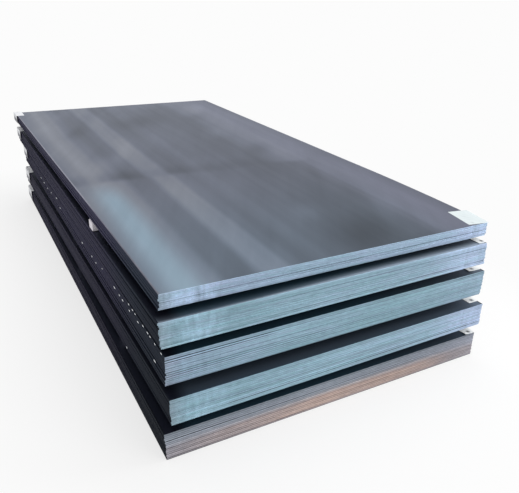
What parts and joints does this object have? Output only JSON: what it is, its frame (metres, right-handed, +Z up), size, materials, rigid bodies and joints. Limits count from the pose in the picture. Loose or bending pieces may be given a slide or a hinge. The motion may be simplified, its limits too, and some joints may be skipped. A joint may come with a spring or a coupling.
{
  "type": "stack of steel plates",
  "caption": "Stack of flat rectangular steel plates in packs, held apart by timber bearers so that forks and slings can pass between them, with plain labels at the corners.",
  "frame": {"origin": "middle of the underside of the pack on the ground", "axes": "+Z up, +Y along the plates' length away from the near end, +X across their width"},
  "size_m": [1.5693, 3.0831, 0.6544],
  "materials": {
    "plate_steel": "mill finish, satin, with bright sheared ends",
    "bearer_timber": "rough sawn",
    "label_paper": "matt"
  },
  "bodies": {
    "root": {"pack_1": "plate_steel", "pack_2": "plate_steel", "pack_3": "plate_steel", "pack_4": "plate_steel", "pack_5": "plate_steel", "bearer_1_near": "bearer_timber", "bearer_1_middle": "bearer_timber", "bearer_1_far": "bearer_timber", "bearer_2_near": "bearer_timber", "bearer_2_middle": "bearer_timber", "bearer_2_far": "bearer_timber", "bearer_3_near": "bearer_timber", "bearer_3_middle": "bearer_timber", "bearer_3_far": "bearer_timber", "bearer_4_near": "bearer_timber", "bearer_4_middle": "bearer_timber", "bearer_4_far": "bearer_timber", "label_1_near": "label_paper", "label_1_far": "label_paper", "label_2_near": "label_paper", "label_2_far": "label_paper", "label_3_near": "label_paper", "label_3_far": "label_paper", "label_4_near": "label_paper", "label_4_far": "label_paper", "label_5_near": "label_paper", "label_5_far": "label_paper"}
  },
  "joints": []
}
